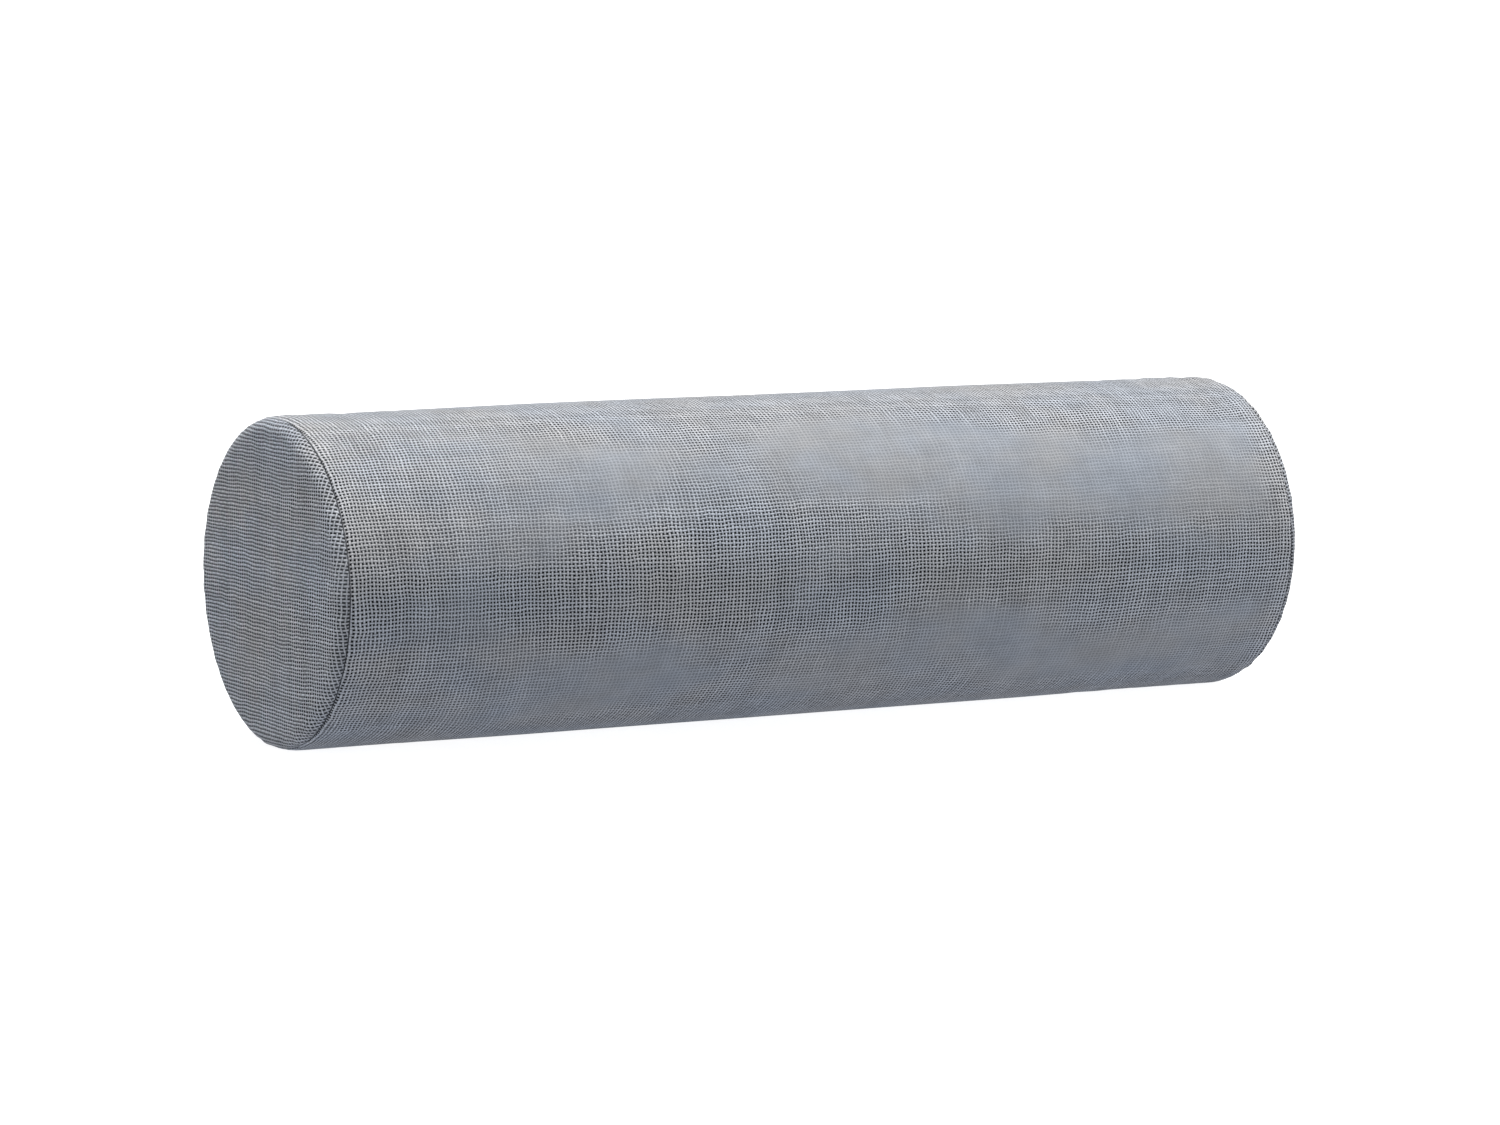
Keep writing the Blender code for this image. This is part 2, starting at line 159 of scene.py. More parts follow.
def sheet_object(name, outer, inner, cloth, material):
    """A closed shell between two grids of points that meet along their borders."""
    rows, columns = outer.shape[:2]
    front = np.arange(rows * columns).reshape(rows, columns)
    back = front.copy()
    back[1:-1, 1:-1] = rows * columns + np.arange((rows - 2) * (columns - 2)).reshape(rows - 2, -1)
    points = np.concatenate([outer.reshape(-1, 3), inner[1:-1, 1:-1].reshape(-1, 3)])
    faces = np.concatenate([quads(front), quads(back)[:, ::-1]])
    drawn = np.concatenate([quads(front), quads(front)[:, ::-1]])
    return mesh_object(name, points, faces.tolist(), material, cloth.reshape(-1, 2)[drawn])


def unit(vectors):
    return vectors / np.linalg.norm(vectors, axis=-1, keepdims=True)


def rods_object(name, paths, radii, over, material, sides=8, flatness=1.0):
    """Rods along paths, given as (rod, point, xyz). Over is the direction that each rod's top faces."""
    paths = np.asarray(paths, float)
    along = unit(np.gradient(paths, axis=1))
    side = unit(np.cross(along, over))
    top = np.cross(side, along) * flatness
    turn = np.linspace(0, math.tau, sides, endpoint=False)[:, None]
    ring = side[:, :, None] * np.cos(turn) + top[:, :, None] * np.sin(turn)
    points = paths[:, :, None] + np.asarray(radii)[..., None, None] * ring
    rods, count = paths.shape[:2]
    number = np.arange(rods * count * sides).reshape(rods, count, sides)
    around = np.concatenate([number, number[:, :, :1]], axis=2)
    faces = quads(around).tolist() + number[:, 0].tolist() + number[:, -1].tolist()
    return mesh_object(name, points.reshape(-1, 3), faces, material)


def capsule_radii(radius, count, tip=0.04):
    """Radii of a rod whose ends round down to a small tip."""
    place = np.linspace(-1.0, 1.0, count)
    return radius * np.sqrt(np.clip(1.0 + tip - place**6, tip, None))


def evaluated_mesh(piece):
    """A new mesh of what an object's curve or modifiers make."""
    bpy.context.view_layer.update()
    graph = bpy.context.evaluated_depsgraph_get()
    return bpy.data.meshes.new_from_object(piece.evaluated_get(graph))


def finish_piece(piece, nodes, body="roller"):
    """Hangs a piece on its body, in place of CAD nodes, which it hides."""
    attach(piece, body)
    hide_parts(*nodes)


def on_roller(x, radius, angle):
    """Points at a place along the roller, a distance from its axis and an angle round it."""
    x, radius, angle = np.broadcast_arrays(x, radius, angle)
    return np.stack([x, radius * np.cos(angle), AXIS_Z + radius * np.sin(angle)], axis=-1)


def smooth_step(value, low, high):
    share = np.clip((value - low) / (high - low), 0.0, 1.0)
    return share * share * (3.0 - 2.0 * share)


def rim_steps(rim, count=4):
    """Distances from a rounded rim at which its thickness is sampled."""
    return rim * (1.0 - np.cos(np.linspace(0.0, math.pi / 2, count + 1)))


def rim_thickness(distance, rim):
    """Share of the full thickness at a distance from a rounded rim."""
    inside = np.clip(1.0 - distance / rim, 0.0, 1.0)
    return np.sqrt(1.0 - inside * inside)


def stations(*stretches):
    """Positions along a line: each stretch is (start, stop, spacing), and the last stop is kept."""
    parts = [np.arange(start, stop - spacing / 2, spacing) for start, stop, spacing in stretches]
    return np.concatenate(parts + [[stretches[-1][1]]])


def mirrored(values):
    """Positive positions, and the same on the negative side."""
    return np.concatenate([-values[:0:-1], values])


# Shape of the cover


def waves(count, turn_limit, fastest, height):
    """Soft random waves, each given as size, turns round, radians per metre along, and phase."""
    around = random.integers(1, turn_limit, count)
    along = random.uniform(-fastest, fastest, count)
    size = height * random.uniform(0.4, 1.0, count) / math.sqrt(count)
    return list(zip(size, around, along, random.uniform(0.0, math.tau, count)))


def undulation(series, along, angle):
    total = np.zeros(np.broadcast(along, angle).shape)
    for size, around, lengthwise, phase in series:
        total += size * np.sin(around * angle + lengthwise * along + phase)
    return total


BODY_WAVES = waves(16, turn_limit=9, fastest=46.0, height=0.00022)
PUCKER_WAVES = waves(14, turn_limit=64, fastest=5.0, height=0.0003)
END_WAVES = waves(12, turn_limit=8, fastest=50.0, height=0.00022)
WAVE_FADE = 0.02
PUCKER_START = 0.0012
PUCKER_REACH = 0.006

# Cloth simulation of the body panel, and how much of its bulge is kept

SIM_ROWS = 84
SIM_COLUMNS = 96
SIM_FRAMES = 20
SIM_QUALITY = 6
SIM_PRESSURE = 4.0
SIM_GROWTH = 0.004
SIM_START = 0.0004
BULGE_OUT = 0.0006
BULGE_IN = -0.0002
BULGE_FADE = 0.008

# Spacing of the points of the cover's panels, closer where the cloth turns

PLAIN_SPACING = 0.002
FINE_SPACING = 0.0008
SEAM_ZONE = 0.01
HEM_ZONE = 0.006
HEM_SPACINGS = (0.0005, 0.0015, 0.003)
ROUND_SPACING = 0.0052
DISC_ZONE = 0.06
DISC_SPACING = 0.0015
DISC_RIM_SPACING = 0.0009


def cloth_tube():
    """A coarse, slightly slim tube of the cover's cloth, held at its end seams and along the zip."""
    x = np.linspace(-BODY_HALF, BODY_HALF, SIM_ROWS)[:, None]
    angle = np.linspace(0.0, math.tau, SIM_COLUMNS, endpoint=False)[None, :]
    points = on_roller(x, RADIUS - SIM_START, angle)
    number = np.arange(SIM_ROWS * SIM_COLUMNS).reshape(SIM_ROWS, SIM_COLUMNS)
    faces = quads(np.concatenate([number, number[:, :1]], axis=1)).tolist()
    tube = mesh_object("cloth_tube", points.reshape(-1, 3), faces, bpy.data.materials.new("tube"))
    held = np.concatenate([number[0], number[-1], number[:, 0]]).tolist()
    tube.vertex_groups.new(name="sewn").add(held, 1.0, "REPLACE")
    return tube


def simulated_bulge():
    """How far the filling pushes the cloth out, on a grid of rows along X and angles round it."""
    tube = cloth_tube()
    cloth = tube.modifiers.new("Filled", "CLOTH")
    cloth.settings.quality = SIM_QUALITY
    cloth.settings.vertex_group_mass = "sewn"
    cloth.settings.use_pressure = True
    cloth.settings.uniform_pressure_force = SIM_PRESSURE
    cloth.settings.shrink_min = -SIM_GROWTH
    cloth.settings.effector_weights.gravity = 0.0
    cloth.point_cache.frame_end = SIM_FRAMES
    for step in range(1, SIM_FRAMES + 1):
        bpy.context.scene.frame_set(step)
    settled = tube.evaluated_get(bpy.context.evaluated_depsgraph_get()).to_mesh()
    points = np.zeros(len(settled.vertices) * 3, np.float32)
    settled.vertices.foreach_get("co", points)
    bpy.data.objects.remove(tube)
    bpy.context.scene.frame_set(1)
    points = points.reshape(SIM_ROWS, SIM_COLUMNS, 3)
    moved = np.hypot(points[..., 1], points[..., 2] - AXIS_Z) - RADIUS
    return np.clip(moved - np.median(moved), BULGE_IN, BULGE_OUT)


def sampled(field, x, angle):
    """Reads the coarse grid between its own points, staying just short of its last row."""
    row = np.clip((x / BODY_HALF + 1) / 2 * (SIM_ROWS - 1), 0, SIM_ROWS - 1.001)
    column = (angle / math.tau * SIM_COLUMNS) % SIM_COLUMNS
    row, column = np.broadcast_arrays(row, column)
    low_row = row.astype(int)
    low_column = column.astype(int) % SIM_COLUMNS
    next_column = (low_column + 1) % SIM_COLUMNS
    row_share = row - low_row
    column_share = column - np.floor(column)

    def on_row(number):
        return field[number, low_column] * (1 - column_share) + field[number, next_column] * column_share

    return on_row(low_row) * (1 - row_share) + on_row(low_row + 1) * row_share


def seam_pull(distance, angle, along):
    """The cloth dips to the end seam and puckers beside it."""
    dip = -SEAM_DIP * np.exp(-((distance / SEAM_DIP_WIDTH) ** 2))
    pucker = undulation(PUCKER_WAVES, along, angle) * np.exp(-distance / PUCKER_REACH)
    return dip + pucker * smooth_step(distance, 0.0, PUCKER_START)


def opening_side(x):
    """Half the opening's width along the roller."""
    share = smooth_step(np.abs(x), OPENING_HALF - OPENING_EASE, OPENING_HALF + OPENING_EASE)
    return OPENING_SIDE + (CLOSED_SIDE - OPENING_SIDE) * share


def hem_height(x, side):
    """Folded cloth beside the opening, pulled down along its row of stitches."""
    hem = HEM_RISE * (1.0 - smooth_step(side, HEM_WIDTH, HEM_WIDTH + HEM_FALL))
    stitched = 1.0 - smooth_step(np.abs(x), STITCH_HIGH.x, STITCH_HIGH.x + STITCH_PITCH)
    pull = 1.0 - VALLEY_EASE - VALLEY_EASE * np.cos(math.tau * x / STITCH_PITCH)
    valley = VALLEY_DEPTH * pull * np.exp(-(((side - STITCH_Z) / VALLEY_WIDTH) ** 2))
    return hem - valley * stitched


def body_profile(along):
    """Place on the body panel's mid line: its x, radius, and how far its normal leans along X."""
    past = np.clip(np.abs(along) - ROUNDING_X, 0.0, None) / MID_EDGE
    x = np.sign(along) * (np.minimum(np.abs(along), ROUNDING_X) + MID_EDGE * np.sin(past))
    return x, ROUNDING_RADIUS + MID_EDGE * np.cos(past), np.sign(along) * past


def offset_points(x, radius, lean, angle, distance):
    return on_roller(x + distance * np.sin(lean), radius + distance * np.cos(lean), angle)


def panel_sides(x, radius, lean, angle, height, half):
    """A panel's outer and inner points, with the outer ones kept off the floor."""
    outer = offset_points(x, radius, lean, angle, height + half)
    inner = offset_points(x, radius, lean, angle, height - half)
    outer[..., 2] = np.maximum(outer[..., 2], FLOOR_CLEARANCE)
    return outer, inner


def body_stations():
    """Positions along the body panel, closer together at the opening's ends and the end seams."""
    opening = OPENING_HALF - 2 * OPENING_EASE
    closed = opening + 4 * OPENING_EASE
    plain = ROUNDING_X - SEAM_ZONE
    ends = BODY_HALF - rim_steps(RIM)[::-1]
    half = stations((0.0, opening, STITCH_PITCH / 2), (opening, closed, FINE_SPACING),
                    (closed, plain, PLAIN_SPACING), (plain, ends[0], FINE_SPACING))
    return mirrored(np.concatenate([half, ends[1:]]))


def girth_stations(half_girth):
    """Positions round the body panel from one edge of the opening to the other, closer by the hems."""
    hem, middle, plain = HEM_ZONE * np.arange(1, 4)
    first, second, third = HEM_SPACINGS
    half = stations((RIM, hem, first), (hem, middle, second), (middle, plain, third),
                    (plain, half_girth, ROUND_SPACING))
    half = np.concatenate([rim_steps(RIM)[:-1], half])
    return np.concatenate([half, 2 * half_girth - half[-2::-1]])


def body_height(x, angle, side, from_edge, from_end, bulge):
    """How far the body panel stands off a plain tube."""
    height = hem_height(x, from_edge + side) + seam_pull(from_end, angle, x)
    free = smooth_step(np.abs(angle - REST_ANGLE) * RADIUS, REST_HALF, 2 * REST_HALF)
    height += free * undulation(BODY_WAVES, x, angle) * smooth_step(from_end, 0.0, WAVE_FADE)
    height += free * sampled(bulge, x, angle) * smooth_step(from_end, 0.0, BULGE_FADE)
    return height


def make_cover_body(weave, bulge):
    """The body panel: a tube of cloth, slit along the back for the zip."""
    along = body_stations()[:, None]
    half_girth = math.pi * RADIUS - OPENING_SIDE
    share = girth_stations(half_girth)[None, :] / (2 * half_girth)
    x, radius, lean = body_profile(along)
    side = opening_side(x)
    slit = side / RADIUS
    angle = slit + share * (math.tau - 2 * slit)
    from_edge = np.minimum(share, 1 - share) * (math.tau * RADIUS - 2 * side)
    from_end = BODY_HALF - np.abs(along)

    height = body_height(x, angle, side, from_edge, from_end, bulge)
    half = THICKNESS / 2 * rim_thickness(from_edge, RIM) * rim_thickness(from_end, RIM)
    outer, inner = panel_sides(x, radius, lean, angle, height, half)
    cloth = np.stack(np.broadcast_arrays(along, angle * RADIUS), axis=-1)
    cover = sheet_object("cover_body_cloth", outer, inner, cloth, weave)
    finish_piece(cover, ["cover_body"])


def disc_grid(positions):
    """Length from the centre and angle of a square grid that is bent into a disc."""
    across, up = np.meshgrid(positions, positions, indexing="ij")
    length = np.maximum(np.abs(across), np.abs(up))
    wide = np.abs(across) >= np.abs(up)
    safe = np.where(wide, across, up)
    safe = np.where(safe == 0, 1.0, safe)
    turn = np.where(wide, up / safe, -across / safe) * math.pi / 4
    start = np.where(wide, np.where(across < 0, math.pi, 0.0), np.where(up < 0, 1.5, 0.5) * math.pi)
    return length, start + turn


def make_cover_end(side, direction, weave):
    """The end panel, from its centre out over the rounded edge to the end seam."""
    total = ROUNDING_RADIUS + MID_EDGE * END_LIP
    ends = total - rim_steps(RIM)[::-1]
    positions = stations((0.0, DISC_ZONE, DISC_SPACING), (DISC_ZONE, ends[0], DISC_RIM_SPACING))
    length, angle = disc_grid(mirrored(np.concatenate([positions, ends[1:]])))
    past = np.clip(length - ROUNDING_RADIUS, 0.0, None) / MID_EDGE
    radius = np.minimum(length, ROUNDING_RADIUS) + MID_EDGE * np.sin(past)
    x = ROUNDING_X + MID_EDGE * np.cos(past)
    from_seam = total - length

    crown = END_CROWN * (1 - (length / total) ** 2)
    height = crown + seam_pull(from_seam, angle + direction, length)
    fade = smooth_step(from_seam, 0.0, WAVE_FADE)
    height += undulation(END_WAVES, length, angle) * fade * length / total
    half = THICKNESS / 2 * rim_thickness(from_seam, RIM)
    outer, inner = panel_sides(x, radius, math.pi / 2 - past, angle, height, half)
    outer[..., 0] *= direction
    inner[..., 0] *= direction
    cloth = np.stack([length * np.cos(angle), length * np.sin(angle)], axis=-1)
    panel = sheet_object(f"cover_end_cloth_{side}", outer, inner, cloth, weave)
    finish_piece(panel, [f"cover_end_{side}"])


def make_end_seam(side, direction, thread):
    """Short stitches at the bottom of the groove between the body panel and the end panel."""
    radius = (THREAD_HIGH.z - AXIS_Z + RADIUS - THICKNESS) / 2
    x = direction * (THREAD_LOW.x + THREAD_HIGH.x) / 2
    count = round(math.tau * radius / STITCH_PITCH)
    starts = np.arange(count)[:, None] * math.tau / count
    place = np.linspace(-1.0, 1.0, STITCH_POINTS)[None, :]
    angle = starts + place * STITCH_LENGTH / 2 / radius
    paths = on_roller(x, radius - SEAM_STITCH_DIVE * place**4, angle)
    radii = capsule_radii(SEAM_STITCH_RADIUS, STITCH_POINTS)
    stitches = rods_object(f"end_seam_stitches_{side}", paths, radii, ALONG_X, thread, sides=6)
    finish_piece(stitches, [f"end_seam_thread_{side}"])


# Zip. A side is the left or right end of the roller, an edge is below or above the opening.

EDGES = {"lower": -1, "upper": 1}
SIDES = {"left": -1, "right": 1}
TAPE_THICKNESS = 0.0006
TAPE_COLUMNS = 18
TAPE_SPACING = 0.004
COIL_PITCH = 0.00135
FILAMENT = 0.00027
COIL_HEAD = -0.0003
COIL_BACK = COIL_HIGH.z - AXIS_Z - FILAMENT
COIL_FOOT = COIL_LOW.y + FILAMENT
COIL_TOP = COIL_HIGH.y - FILAMENT
COIL_POINTS = 12
COIL_SEAM_ROWS = (0.0013, 0.0022)
COIL_SEAM_POINTS = 5
COIL_SEAM_SHARE = 0.86
COIL_SEAM_RADIUS = 0.00011
COIL_SEAM_LIFT = 0.00008
COIL_SEAM_BOW = 0.00025
TACK_TURNS = 49
TACK_STEPS = 4
TACK_LIFT = 0.0001
TACK_RADIUS = 0.00019


def make_zip_tape(edge, direction, weave):
    """A woven tape that follows the roller's curve, with rounded edges."""
    inner_edge = TAPE_LOW.z - AXIS_Z
    outer_edge = TAPE_HIGH.z - AXIS_Z
    length = TAPE_HIGH.x
    rim = TAPE_THICKNESS / 2
    radius = math.hypot(TAPE_LOW.y, outer_edge) + rim
    steps = rim_steps(rim, 3)[:-1]
    flat = np.linspace(rim, outer_edge - inner_edge - rim, TAPE_COLUMNS)
    across = np.concatenate([inner_edge + steps, inner_edge + flat, outer_edge - steps[::-1]])[None, :]
    along = stations((0.0, length - rim, TAPE_SPACING))
    along = mirrored(np.concatenate([along, length - steps[::-1]]))[:, None]
    angle = direction * np.arcsin(across / radius)
    from_rim = np.minimum(across - inner_edge, outer_edge - across)
    half = rim * rim_thickness(from_rim, rim) * rim_thickness(length - np.abs(along), rim)
    outer = on_roller(along, radius + half, angle)
    inner = on_roller(along, radius - half, angle)
    cloth = np.stack(np.broadcast_arrays(along, across), axis=-1)
    tape = sheet_object(f"zip_tape_cloth_{edge}", outer, inner, cloth, weave)
    finish_piece(tape, [f"zip_tape_{edge}"])


def make_zip_coil(edge, direction, nylon):
    """A nylon filament wound in flat loops, whose heads mesh with the other coil's."""
    start = COIL_LOW.x + FILAMENT + (COIL_PITCH / 2 if direction < 0 else 0.0)
    turns = int((COIL_HIGH.x - FILAMENT - start) / COIL_PITCH)
    turn = np.linspace(0.0, turns * math.tau, turns * COIL_POINTS + 1)
    reach = (COIL_BACK - COIL_HEAD) / 2
    z = COIL_HEAD + reach - reach * np.cos(turn)
    y = (COIL_TOP + COIL_FOOT) / 2 + (COIL_TOP - COIL_FOOT) / 2 * np.sin(turn)
    x = start + COIL_PITCH * turn / math.tau
    path = np.stack([x, y, AXIS_Z + direction * z], axis=-1)
    radii = np.full(len(turn), FILAMENT)
    coil = rods_object(f"zip_coil_wound_{edge}", path[None], radii, ALONG_X, nylon, sides=6)
    finish_piece(coil, [f"zip_coil_{edge}"])


def make_coil_seams(edge, direction, thread):
    """Two rows of thread that sew a coil to its tape, one stitch over each turn."""
    start, stop = COIL_LOW.x + COIL_PITCH, COIL_HIGH.x - COIL_PITCH
    count = int((stop - start) / COIL_PITCH)
    share = np.linspace(0.0, 1.0, COIL_SEAM_POINTS)
    x = start + np.arange(count)[:, None] * COIL_PITCH + share * COIL_PITCH * COIL_SEAM_SHARE
    bow = COIL_SEAM_BOW * (1.0 - np.linspace(-1.0, 1.0, COIL_SEAM_POINTS) ** 2)
    y = np.broadcast_to(COIL_TOP + COIL_SEAM_LIFT + bow, x.shape)
    rows = [np.stack([x, y, np.full(x.shape, AXIS_Z + direction * z)], axis=-1) for z in COIL_SEAM_ROWS]
    radii = capsule_radii(COIL_SEAM_RADIUS, COIL_SEAM_POINTS)
    seams = rods_object(f"zip_coil_seams_{edge}", np.concatenate(rows), radii, ALONG_Y, thread, sides=5)
    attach(seams, "roller")


def make_topstitch(edge, direction, thread):
    """A row of stitches through the cover's hem and the tape under it."""
    count = int(2 * STITCH_HIGH.x / STITCH_PITCH)
    centres = (np.arange(count)[:, None] - (count - 1) / 2) * STITCH_PITCH
    place = np.linspace(-1.0, 1.0, STITCH_POINTS)[None, :]
    sway = random.normal(0.0, TOPSTITCH_SWAY, (count, 1))
    angle = direction * (STITCH_Z + sway) / RADIUS
    radius = RADIUS + TOPSTITCH_RISE - TOPSTITCH_DIVE * place**4
    paths = on_roller(centres + place * STITCH_LENGTH / 2, radius, angle)
    radii = capsule_radii(STITCH_RADIUS, STITCH_POINTS)
    stitches = rods_object(f"zip_topstitches_{edge}", paths, radii, ALONG_Y, thread)
    finish_piece(stitches, [f"zip_topstitch_{edge}"])


def make_bar_tack(side, direction, thread):
    """A close zigzag over the end of the opening."""
    turns = np.arange(TACK_TURNS)
    steps = np.linspace(0, TACK_TURNS - 1, TACK_TURNS * TACK_STEPS)
    middle = direction * (TACK_LOW.x + TACK_HIGH.x) / 2
    swing = (TACK_HIGH.x - TACK_LOW.x) / 2 * np.where(turns % 2, 1.0, -1.0)
    x = np.interp(steps, turns, middle + swing)
    z = np.interp(steps, turns, np.linspace(TACK_LOW.z, TACK_HIGH.z, TACK_TURNS) - AXIS_Z)
    radius = RADIUS + HEM_RISE + TACK_LIFT
    path = on_roller(x, radius, z / radius)
    radii = np.full(len(x), TACK_RADIUS)
    tack = rods_object(f"bar_tack_zigzag_{side}", path[None], radii, ALONG_Y, thread, sides=6)
    finish_piece(tack, [f"bar_tack_{side}"])


# Slider and pull tab

WELD_DISTANCE = 0.000002
SLIVER_DISTANCE = 0.000001


def rounded_outline(corners, radius, steps=5):
    """A closed outline of (x, z) points with each corner rounded."""
    points = [Vector(corner) for corner in corners]
    outline = []
    for before, corner, after in zip(points[-1:] + points[:-1], points, points[1:] + points[:1]):
        start = corner + (before - corner).normalized() * min(radius, (before - corner).length / 2)
        stop = corner + (after - corner).normalized() * min(radius, (after - corner).length / 2)
        for step in range(steps + 1):
            share = step / steps
            outline.append((1 - share) ** 2 * start + 2 * share * (1 - share) * corner + share**2 * stop)
    return outline


def outline_curve(name, outlines, thickness, bevel):
    """A flat curve filled between its outlines, with a thickness and rounded edges."""
    curve = bpy.data.curves.new(name, "CURVE")
    curve.dimensions = "2D"
    curve.fill_mode = "BOTH"
    curve.extrude = thickness / 2 - bevel
    curve.bevel_depth = bevel
    curve.bevel_resolution = 3
    curve.offset = -bevel
    for outline in outlines:
        spline = curve.splines.new("POLY")
        spline.points.add(len(outline) - 1)
        spline.use_cyclic_u = True
        for point, place in zip(spline.points, outline):
            point.co = (place[0], place[1], 0.0, 1.0)
    return curve


def plate_object(name, outlines, low, high, bevel, material):
    """A plate that faces Y between two heights, with its edges rounded. Later outlines are holes."""
    plate = linked_object(name, outline_curve(name, outlines, high - low, bevel))
    plate.rotation_euler = (math.radians(90), 0.0, 0.0)
    plate.location = (0.0, (low + high) / 2, AXIS_Z)
    mesh = evaluated_mesh(plate)
    mesh.transform(plate.matrix_world)
    bpy.data.objects.remove(plate)
    shape = bmesh.new()
    shape.from_mesh(mesh)
    bmesh.ops.remove_doubles(shape, verts=shape.verts, dist=WELD_DISTANCE)
    bmesh.ops.dissolve_degenerate(shape, edges=shape.edges, dist=SLIVER_DISTANCE)
    bmesh.ops.recalc_face_normals(shape, faces=shape.faces)
    shape.to_mesh(mesh)
    shape.free()
    mesh.materials.clear()
    return new_object(name, mesh, material)


def box_object(name, low, high, material):
    shape = bmesh.new()
    bmesh.ops.create_cube(shape, size=1.0)
    low, high = Vector(low), Vector(high)
    bmesh.ops.scale(shape, vec=high - low, verts=shape.verts)
    bmesh.ops.translate(shape, vec=(low + high) / 2, verts=shape.verts)
    mesh = bpy.data.meshes.new(name)
    shape.to_mesh(mesh)
    shape.free()
    return new_object(name, mesh, material)


def combine(piece, tools):
    """Cuts or joins tools, given as (tool, operation), and applies the result."""
    for tool, operation in tools:
        modifier = piece.modifiers.new(tool.name, "BOOLEAN")
        modifier.operation = operation
        modifier.object = tool
    mesh = evaluated_mesh(piece)
    piece.modifiers.clear()
    piece.data = mesh
    for tool, _ in tools:
        bpy.data.objects.remove(tool)


def shade_metal(piece, sharp_angle):
    """Smooth shading, with a sharp edge wherever faces turn by more than an angle in degrees."""
    piece.data.shade_smooth()
    piece.data.set_sharp_from_angle(angle=math.radians(sharp_angle))


# Heights and widths inside the slider, as the CAD slider has them

BASE_TOP = 0.0724
FLANGE_FOOT = 0.0739
CHANNEL_ROOF = 0.0757
CHANNEL_SIDE = 0.0034
PLATE_TOP = 0.0768
BRIDGE_REACH = 0.0029
BRIDGE_SIDE = 0.0009
BRIDGE_THICKNESS = 0.001

# Details of the slider: its outline, its edges, how far its parts run into each other, its post

MOUTH_SHARE = 0.9
TAIL_SHARE = 0.93
SHOULDER_X = 0.001
NOTCH_SIDE = 0.0012
NOTCH_DEPTH = 0.0007
SLIDER_CORNER = 0.0013
CAST_EDGE = 0.0005
BASE_EDGE = 0.0003
BASE_INSET = 0.0001
CHANNEL_PAST = 0.002
CHANNEL_UNDER = 0.001
POST_SETBACK = 0.0009
POST_LENGTH = 0.0024
POST_SIDE = 0.00045
POST_OVERLAP = 0.0004
BRIDGE_SINK = 0.0006
BRIDGE_BEND = 0.45
BRIDGE_POINTS = 25

# Details of the tab: widths as shares of its widest part, and distances from its root or its tip

TAB_ROOT_SHARE = 0.78
TAB_NECK_SHARE = 0.84
TAB_TIP_SHARE = 0.9
TAB_NECK = 0.007
TAB_WIDEST = 0.013
TAB_CORNER = 0.0022
TAB_EDGE = 0.00028
EYE = (0.0048, 0.001)
EYE_CORNER = 0.0006
CORD_SLOT = (0.003, 0.014)
HOLE_SIDE = 0.0013


def slider_plan(middle, inset=0.0):
    """The slider's outline from above, wider at its mouth, which is notched for the open chain."""
    tail, mouth = SLIDER_LOW.x + inset, SLIDER_HIGH.x - inset
    side = (SLIDER_HIGH.z - SLIDER_LOW.z) / 2 - inset
    shoulder = middle + SHOULDER_X
    right = [(mouth, side * MOUTH_SHARE), (shoulder, side), (tail, side * TAIL_SHARE)]
    left = [(x, -z) for x, z in reversed(right)]
    notch = [(mouth, -NOTCH_SIDE), (mouth - NOTCH_DEPTH, 0.0), (mouth, NOTCH_SIDE)]
    return rounded_outline([(x, -z) for x, z in right + left + notch], SLIDER_CORNER)


def slider_channel(middle, metal):
    """The space cut for the coils, between the roof's flanges and open at both ends."""
    reach = SLIDER_HIGH.x - middle + CHANNEL_PAST
    low = (middle - reach, FLANGE_FOOT - CHANNEL_UNDER, AXIS_Z - CHANNEL_SIDE)
    high = (middle + reach, CHANNEL_ROOF, AXIS_Z + CHANNEL_SIDE)
    return box_object("slider_channel", low, high, metal)


def slider_post(metal):
    """The post between the base and the roof, just inside the mouth."""
    end = SLIDER_HIGH.x - POST_SETBACK
    low = (end - POST_LENGTH, BASE_TOP - POST_OVERLAP, AXIS_Z - POST_SIDE)
    high = (end, CHANNEL_ROOF + POST_OVERLAP, AXIS_Z + POST_SIDE)
    return box_object("slider_post", low, high, metal)


def slider_bridge(middle, metal):
    """The flat arch over the roof that holds the tab."""
    turn = np.linspace(0.0, math.pi, BRIDGE_POINTS)
    x = middle - BRIDGE_REACH * np.sign(np.cos(turn)) * np.abs(np.cos(turn)) ** BRIDGE_BEND
    crest = SLIDER_HIGH.y - BRIDGE_THICKNESS / 2
    foot = PLATE_TOP - BRIDGE_SINK
    y = foot + (crest - foot) * np.sin(turn) ** BRIDGE_BEND
    path = np.stack([x, y, np.full(len(x), AXIS_Z)], axis=-1)
    radii = np.full(len(x), BRIDGE_SIDE)
    flatness = BRIDGE_THICKNESS / 2 / BRIDGE_SIDE
    return rods_object("slider_bridge", path[None], radii, ALONG_Y, metal, sides=16, flatness=flatness)


def make_slider(metal):
    """A cast slider: a roof with flanges, a base, the post that joins them, and a bridge."""
    middle = (SLIDER_LOW.x + SLIDER_HIGH.x) / 2
    roof_plan = [slider_plan(middle)]
    base_plan = [slider_plan(middle, BASE_INSET)]
    slider = plate_object("zip_slider_cast", roof_plan, FLANGE_FOOT, PLATE_TOP, CAST_EDGE, metal)
    base = plate_object("slider_base", base_plan, SLIDER_LOW.y, BASE_TOP, BASE_EDGE, metal)
    channel = slider_channel(middle, metal)
    post = slider_post(metal)
    bridge = slider_bridge(middle, metal)
    combine(slider, [(channel, "DIFFERENCE"), (post, "UNION"), (base, "UNION"), (bridge, "UNION")])
    shade_metal(slider, sharp_angle=40)
    finish_piece(slider, ["zip_slider"], "slider")


